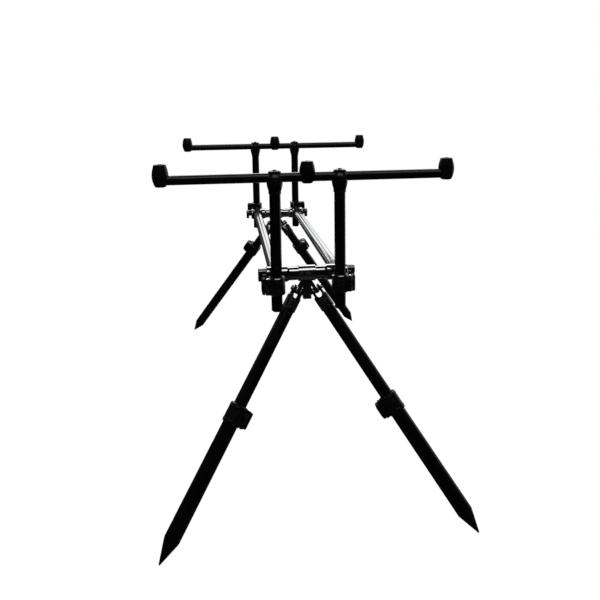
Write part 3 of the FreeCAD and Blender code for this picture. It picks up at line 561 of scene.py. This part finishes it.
def ridge(length, width, height):
    """A half-round rib lying along Y, with its base sunk just under the plane X = 0."""
    sunk = 0.3
    steps = 6
    section = [(-sunk, -width / 2)]
    for step in range(steps + 1):
        angle = math.pi * step / steps
        section.append((height * math.sin(angle), -width / 2 * math.cos(angle)))
    section.append((-sunk, width / 2))
    return prism(section, length)


def moved(shape, matrix):
    """A shape's points carried by a matrix, in millimetres."""
    points, faces = shape
    return [tuple(matrix @ Vector(point)) for point in points], faces


def joined(shapes):
    """Several shapes as one."""
    points = []
    faces = []
    for shape_points, shape_faces in shapes:
        start = len(points)
        points.extend(shape_points)
        faces.extend(tuple(index + start for index in face) for face in shape_faces)
    return points, faces


def piece(name, shape, matrix, body, finish, sharp=35, bevel=None):
    """Makes an object from a shape placed by a matrix in metres, and lets it ride on its body.

    Edges over the sharp angle stay crisp, and a bevel in millimetres eases them."""
    eased_from = 40
    points, faces = shape
    mesh = bpy.data.meshes.new(name)
    mesh.from_pydata([tuple(matrix @ (Vector(point) * MM)) for point in points], [], faces)
    mesh.validate()
    mesh.polygons.foreach_set("use_smooth", [True] * len(mesh.polygons))
    mesh.set_sharp_from_angle(angle=math.radians(sharp))
    made = bpy.data.objects.new(name, mesh)
    bpy.context.scene.collection.objects.link(made)
    made.data.materials.append(finish)
    if bevel is not None:
        edge = made.modifiers.new("eased_edges", "BEVEL")
        edge.width = bevel * MM
        edge.segments = 2
        edge.limit_method = "ANGLE"
        edge.angle_limit = math.radians(eased_from)
    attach(made, body)
    return made


# Rest bars: barrel heads, threaded inserts, clamping caps

BARREL_DROP = 10.7
BARREL_RISE = 26.6
BARREL_SEGMENTS = 64
INSERT_RADIUS = 6.2
INSERT_DEPTH = 16.0
THREAD_ROOT = 4.75
THREAD_CREST = 4.25
THREAD_PITCH = 1.27
THREAD_DEPTH = 14.0
KNURLS = 36
KNURL_DEPTH = 0.35


def mouth_place(end, side):
    """The mouth of one alarm socket: the top of its barrel head. The mount is mid-bore."""
    mount = MOUNTS[f"{end}_{side}_alarm_socket"]
    return Vector(mount["pos_m"]) + UP * (mount["dims"]["length_mm"] * MM / 2)


def barrel_shape():
    """A barrel head with a stepped hole for its insert. Heights are from the bar's axis."""
    flank = smooth_run([(7.0, -BARREL_DROP), (8.3, -10.3), (9.3, -9.0), (10.9, -5.6),
                        (12.6, -0.2), (13.4, 5.0), (13.45, 9.5), (12.9, 14.5),
                        (11.7, 19.8), (10.3, 24.6), (9.9, 25.9)], steps=3)
    outline = [(0, -BARREL_DROP)] + flank
    outline += [(9.5, 26.4), (9.0, BARREL_RISE), (INSERT_RADIUS + 0.6, BARREL_RISE),
                (INSERT_RADIUS + 0.1, BARREL_RISE - 0.5),
                (INSERT_RADIUS + 0.05, BARREL_RISE - INSERT_DEPTH),
                (0, BARREL_RISE - INSERT_DEPTH)]
    return lathe(plain(outline), BARREL_SEGMENTS)


def threaded_insert_shape():
    """A bushing with a real internal thread. Heights are from its mouth, downwards."""
    around = 36
    rows_per_turn = 6
    stand = 0.35
    points, faces = lathe(plain([
        (THREAD_ROOT + 0.5, stand), (INSERT_RADIUS - 0.4, stand), (INSERT_RADIUS, 0.0),
        (INSERT_RADIUS, -INSERT_DEPTH), (0, -INSERT_DEPTH)]), around)
    rows = int(THREAD_DEPTH / THREAD_PITCH * rows_per_turn)
    previous = list(range(around))
    for row in range(rows + 1):
        depth = -THREAD_DEPTH * row / rows
        ring = []
        for step in range(around):
            angle = 2 * math.pi * step / around
            phase = (depth / THREAD_PITCH + angle / (2 * math.pi)) % 1
            swing = abs(2 * phase - 1)
            radius = THREAD_CREST + (THREAD_ROOT - THREAD_CREST) * swing
            ring.append(len(points))
            points.append((radius * math.cos(angle), radius * math.sin(angle), depth))
        for step in range(around):
            following = (step + 1) % around
            faces.append((previous[following], previous[step], ring[step], ring[following]))
        previous = ring
    centre = len(points)
    points.append((0, 0, -THREAD_DEPTH))
    for step in range(around):
        faces.append((previous[(step + 1) % around], previous[step], centre))
    return points, faces


def head_cap_shape():
    """A knurled cap over the rest bar, with a socket screw let into its top."""
    outline = plain([(0, 1.0), (13.2, 1.0), (13.5, 1.4), (11.2, 5.4), (10.8, 6.0)])
    outline += [(10.8, 6.4, "ripple"), (10.8, 9.8, "ripple")]
    outline += plain([(10.5, 10.3), (9.6, 11.2), (9.3, 11.3), (3.9, 11.3), (3.9, 11.0),
                      (3.5, 11.0), (3.5, 12.6), (3.0, 13.1)])
    outline += [(1.9, 13.1, "hex"), (1.9, 11.2, "hex"), (0, 11.0, "round")]
    return lathe(outline, 2 * KNURLS, ripple=(KNURLS, KNURL_DEPTH))


def dress_rest_bar(end):
    """Barrel heads, inserts and caps of one end, each kind as one piece on the goalpost."""
    body = end + "_goalpost"
    barrels = []
    inserts = []
    for side in ("left", "middle", "right"):
        mouth = mouth_place(end, side) / MM
        axis_point = mouth - UP * BARREL_RISE
        barrels.append(moved(barrel_shape(), Matrix.Translation(axis_point)))
        inserts.append(moved(threaded_insert_shape(), Matrix.Translation(mouth)))
    still = Matrix.Identity(4)
    barrel_piece = piece(end + "_barrel_heads", joined(barrels), still, body,
                         SATIN_UPRIGHT, sharp=40)
    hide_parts(end + "_alarm_barrels")
    insert_piece = piece(end + "_threaded_inserts", joined(inserts), still, body,
                         INSERT_STEEL, sharp=50)
    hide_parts(end + "_alarm_inserts")
    caps = []
    bar_low, bar_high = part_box(end + "_rest_bar")
    for side in SIDES:
        low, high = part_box(f"{end}_{side}_upright")
        middle = (low + high) / 2
        at = Vector((middle.x, middle.y, (bar_low.z + bar_high.z) / 2)) / MM
        caps.append(moved(head_cap_shape(), Matrix.Translation(at)))
    cap_piece = piece(end + "_knurled_caps", joined(caps), still, body,
                      PLASTIC, sharp=30)
    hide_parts(end + "_bar_head_caps")


for end in ENDS:
    dress_rest_bar(end)


# Tube clamps: grip ribs on their cam levers and domed ends on the pins

PIN_ACROSS = 7.5
PIN_REACH = 2.6
DOME_SEGMENTS = 24
LEVER_RIB_SPACING = 2.3
LEVER_RIBS = 5
LEVER_RIB_SIZE = (17.0, 1.2, 0.7)
FIRST_RIB_ACROSS = 6.4


def node_reach(name, start, axis, within=None):
    """How far a node's points reach from a start along an axis, in millimetres.

    Where within is given, only points that near to the axis count."""
    offsets = [vertex.co - start for vertex in frame["nodes"][name].data.vertices]
    if within is not None:
        offsets = [offset for offset in offsets
                   if (offset - offset.project(axis)).length < within * MM]
    return max(offset.dot(axis) for offset in offsets) / MM


def frame_of_clamp(centre_line_point, axis, pin_place, hand):
    """A clamp's own frame: Z along its tube, X towards its lever, the pin on the hand's side."""
    offset = pin_place - centre_line_point
    centre = centre_line_point + offset.project(axis)
    toward_pin = pin_place - centre
    pin_out = math.sqrt((toward_pin.length / MM) ** 2 - PIN_ACROSS ** 2)
    lean = -hand * math.atan2(PIN_ACROSS, pin_out)
    outward = Matrix.Rotation(lean, 3, axis) @ toward_pin.normalized()
    return frame_matrix(centre, axis, outward), pin_out


def lever_ribs(hand, face):
    """Raised grip ribs across the free half of the lever's outer face."""
    shapes = []
    lay_upright = Matrix.Rotation(math.pi / 2, 4, "X")
    for index in range(LEVER_RIBS):
        across = -hand * (FIRST_RIB_ACROSS - LEVER_RIB_SPACING * index)
        rib = ridge(*LEVER_RIB_SIZE)
        shapes.append(moved(rib, Matrix.Translation((face, across, 0)) @ lay_upright))
    return joined(shapes)


def domed_pin_ends(hand, pin_out, half):
    """A small domed head at each end of the lever's pin."""
    dome = lathe(plain([(0, -0.4), (2.1, -0.4), (2.1, 0.4), (1.7, 0.9), (0.9, 1.2),
                        (0, 1.3)]), DOME_SEGMENTS)
    shapes = []
    for turn in (0, math.pi):
        spin = Matrix.Rotation(turn, 4, "X")
        place = Matrix.Translation((pin_out, PIN_ACROSS * hand, 0))
        shapes.append(moved(dome, place @ spin @ Matrix.Translation((0, 0, half))))
    return joined(shapes)


def dress_lever(lever, centre_line_point, axis, pin_place, hand):
    """Ribs and pin ends for a lever, which is a node and a body of its own."""
    clamp, pin_out = frame_of_clamp(centre_line_point, axis, pin_place, hand)
    face = node_reach(lever, clamp.translation, clamp.col[0].to_3d())
    half = node_reach(lever, pin_place, axis, within=PIN_REACH)
    piece(lever + "_grip_ribs", lever_ribs(hand, face), clamp, lever, PLASTIC)
    piece(lever + "_pin_ends", domed_pin_ends(hand, pin_out, half), clamp, lever,
          STEEL)
    return clamp


for end, side in CORNERS:
    hand = -1 if (side == "right") == (end == "front") else 1
    low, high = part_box(f"{end}_{side}_upright")
    lever = f"{end}_{side}_upright_lever"
    pin = Vector(JOINTS[lever + "_swing"]["pos_m"])
    dress_lever(lever, (low + high) / 2, UP, pin, hand)


# Legs: fork stops, collar bands and turned spikes

SPIKE_LENGTH = 40.0
BAND_HEIGHTS = (11.5, -11.5)
LEG_SEGMENTS = 72
LEG_CLAMP_HAND = -1


def collar_band(radius, height):
    """A raised band round a clamp's collar, with its middle at a height."""
    root = radius - 0.4
    shoulder = radius + 0.25
    rim = radius + 0.45
    return lathe(plain([(root, height - 1.6), (shoulder, height - 1.4), (rim, height - 1.1),
                        (rim, height + 1.1), (shoulder, height + 1.4), (root, height + 1.6),
                        (root, height - 1.6)]), LEG_SEGMENTS)


def fork_stop_shape():
    """The rounded stop in the bottom of a yoke's slot. Heights are from the hinge, up the leg."""
    half_width = 5.0
    depth = 13.6
    bottom = -18.1
    centre = -10.5
    steps = 12
    section = [(-half_width, bottom), (half_width, bottom)]
    for step in range(steps + 1):
        angle = math.pi * step / steps
        section.append((half_width * math.cos(angle), centre - half_width * math.sin(angle)))
    return prism(section, depth)


def spike_shape(radius):
    """Turned from the thick tube's end (height 0) down to its blunt tip."""
    outline = [(0, 0), (radius - 0.3, 0), (radius, -0.3), (radius, -2.6), (radius - 0.4, -3.0),
               (radius - 0.9, -3.1), (radius - 0.9, -4.0), (radius - 0.5, -4.3)]
    outline += [(1.3, 0.9 - SPIKE_LENGTH), (0.9, 0.3 - SPIKE_LENGTH), (0.4, -SPIKE_LENGTH),
                (0, -SPIKE_LENGTH)]
    return lathe(plain(outline), LEG_SEGMENTS)


def dress_leg(leg, down):
    """The stop, lever, bands and spike of one leg that runs down along an axis."""
    foot = leg + "_foot"
    hinge = Vector(JOINTS[leg + "_fold"]["pos_m"])
    pin = Vector(JOINTS[leg + "_lever_swing"]["pos_m"])
    across = Vector(JOINTS[leg + "_fold"]["axis"])
    piece(leg + "_fork_stop", fork_stop_shape(), frame_matrix(hinge, -down, across), leg,
          PLASTIC, bevel=0.4)
    clamp = dress_lever(leg + "_lever", hinge, -down, pin, LEG_CLAMP_HAND)
    collar_radius = node_reach(leg + "_collar", clamp.translation, -clamp.col[0].to_3d())
    bands = [collar_band(collar_radius, height) for height in BAND_HEIGHTS]
    piece(leg + "_collar_bands", joined(bands), clamp, foot, PLASTIC)
    tube_radius = node_reach(leg + "_lower_tube", hinge, down.cross(ALONG).normalized())
    reach = node_reach(leg + "_spike", hinge, down)
    base = hinge + down * ((reach - SPIKE_LENGTH) * MM)
    spike = piece(leg + "_turned_spike", spike_shape(tube_radius),
                  frame_matrix(base, -down, ACROSS), foot, tube_finish(down),
                  sharp=30)
    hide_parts(leg + "_spike")


for end, side in CORNERS:
    dress_leg(f"{end}_{side}_leg", leg_axis(end, side))


# Stage. Backdrop heights are parts of a unit direction from the stand.

BACKDROP_TOP = 0.62
BACKDROP_TOP_FADE = 0.06
BACKDROP_FOOT = 0.059
BACKDROP_FOOT_FADE = (-0.02, 0.03)
BACKDROP_SIDE_FADE = 0.25
BACKDROP_TILT = 0.476
DARK_ROOM = 0.008
LIGHT_OF_ROOM = 0.3
FLOOR_RADIUS = 0.8
FLOOR_SEGMENTS = 96
FLOOR_COLOR = (0.06, 0.06, 0.06)
FLOOR_WHITE = 0.95
LIT_PLACE = Vector((0.0, -0.33, 0.4))
LAMP_RADIANCE = 6.0


def studio_world():
    """White to the camera. Gloss sees a white backdrop behind the stand in a dark room."""
    world = bpy.data.worlds.new("studio")
    bpy.context.scene.world = world
    world.use_nodes = True
    tree = world.node_tree
    tree.nodes.clear()
    direction = node(tree, "ShaderNodeTexCoord")
    parts = node(tree, "ShaderNodeSeparateXYZ")
    link(tree, direction.outputs["Generated"], parts.inputs[0])
    slope = combined(tree, "MULTIPLY", parts.outputs["X"], BACKDROP_TILT)
    foot_from, foot_to = (BACKDROP_FOOT + fade for fade in BACKDROP_FOOT_FADE)
    over_floor = scaled(tree, combined(tree, "ADD", parts.outputs["Z"], slope),
                        foot_from, foot_to, 0.0, 1.0)
    under_top = scaled(tree, parts.outputs["Z"], BACKDROP_TOP - BACKDROP_TOP_FADE,
                       BACKDROP_TOP, 1.0, 0.0)
    behind = scaled(tree, parts.outputs["Y"], 0.0, BACKDROP_SIDE_FADE, 0.0, 1.0)
    backdrop = combined(tree, "MULTIPLY", combined(tree, "MULTIPLY", over_floor, under_top),
                        behind)
    seen_in_gloss = scaled(tree, backdrop, 0.0, 1.0, DARK_ROOM, 1.0)
    path = node(tree, "ShaderNodeLightPath")
    glossy = node(tree, "ShaderNodeMix", data_type="FLOAT")
    link(tree, path.outputs["Is Glossy Ray"], glossy.inputs["Factor"])
    glossy.inputs["A"].default_value = LIGHT_OF_ROOM
    link(tree, seen_in_gloss, glossy.inputs["B"])
    strength = node(tree, "ShaderNodeMix", data_type="FLOAT")
    link(tree, combined(tree, "MAXIMUM", path.outputs["Is Camera Ray"],
                        path.outputs["Is Transmission Ray"]), strength.inputs["Factor"])
    link(tree, glossy.outputs["Result"], strength.inputs["A"])
    strength.inputs["B"].default_value = 1.0
    background = node(tree, "ShaderNodeBackground")
    background.inputs["Color"].default_value = (1, 1, 1, 1)
    link(tree, strength.outputs["Result"], background.inputs["Strength"])
    output = node(tree, "ShaderNodeOutputWorld")
    link(tree, background.outputs["Background"], output.inputs["Surface"])


def studio_floor():
    """A round pale floor that is white to the camera where no shadow falls."""
    turns = [2 * math.pi * step / FLOOR_SEGMENTS for step in range(FLOOR_SEGMENTS)]
    rim = [(FLOOR_RADIUS * math.cos(turn), FLOOR_RADIUS * math.sin(turn), 0) for turn in turns]
    mesh = bpy.data.meshes.new("floor")
    mesh.from_pydata(rim, [], [tuple(range(FLOOR_SEGMENTS))])
    ground = bpy.data.objects.new("floor", mesh)
    bpy.context.scene.collection.objects.link(ground)
    material, tree, shader = new_material("pale_floor")
    shader.inputs["Base Color"].default_value = (*FLOOR_COLOR, 1)
    shader.inputs["Roughness"].default_value = 0.9
    shader.inputs["Specular IOR Level"].default_value = 0.0
    path = node(tree, "ShaderNodeLightPath")
    glow = combined(tree, "MULTIPLY", path.outputs["Is Camera Ray"], FLOOR_WHITE)
    shader.inputs["Emission Color"].default_value = (1, 1, 1, 1)
    link(tree, glow, shader.inputs["Emission Strength"])
    mesh.materials.append(material)


def softbox(name, place, width, depth):
    """A rectangular area lamp, aimed at the lit place."""
    data = bpy.data.lights.new(name, "AREA")
    data.shape = "RECTANGLE"
    data.size = width
    data.size_y = depth
    data.energy = LAMP_RADIANCE * math.pi * width * depth
    light = bpy.data.objects.new(name, data)
    bpy.context.scene.collection.objects.link(light)
    light.location = place
    light.rotation_mode = "QUATERNION"
    light.rotation_quaternion = (LIT_PLACE - place).to_track_quat("-Z", "Y")
    return light


aim_camera()
studio_world()
studio_floor()
softbox("overhead_strip", Vector((0.1, -0.94, 1.87)), width=1.6, depth=0.7)
back_panel = softbox("back_panel", Vector((-0.1, 0.93, 1.4)), width=2.4, depth=0.8)
back_panel.visible_camera = False
bpy.context.scene.view_settings.view_transform = "Standard"
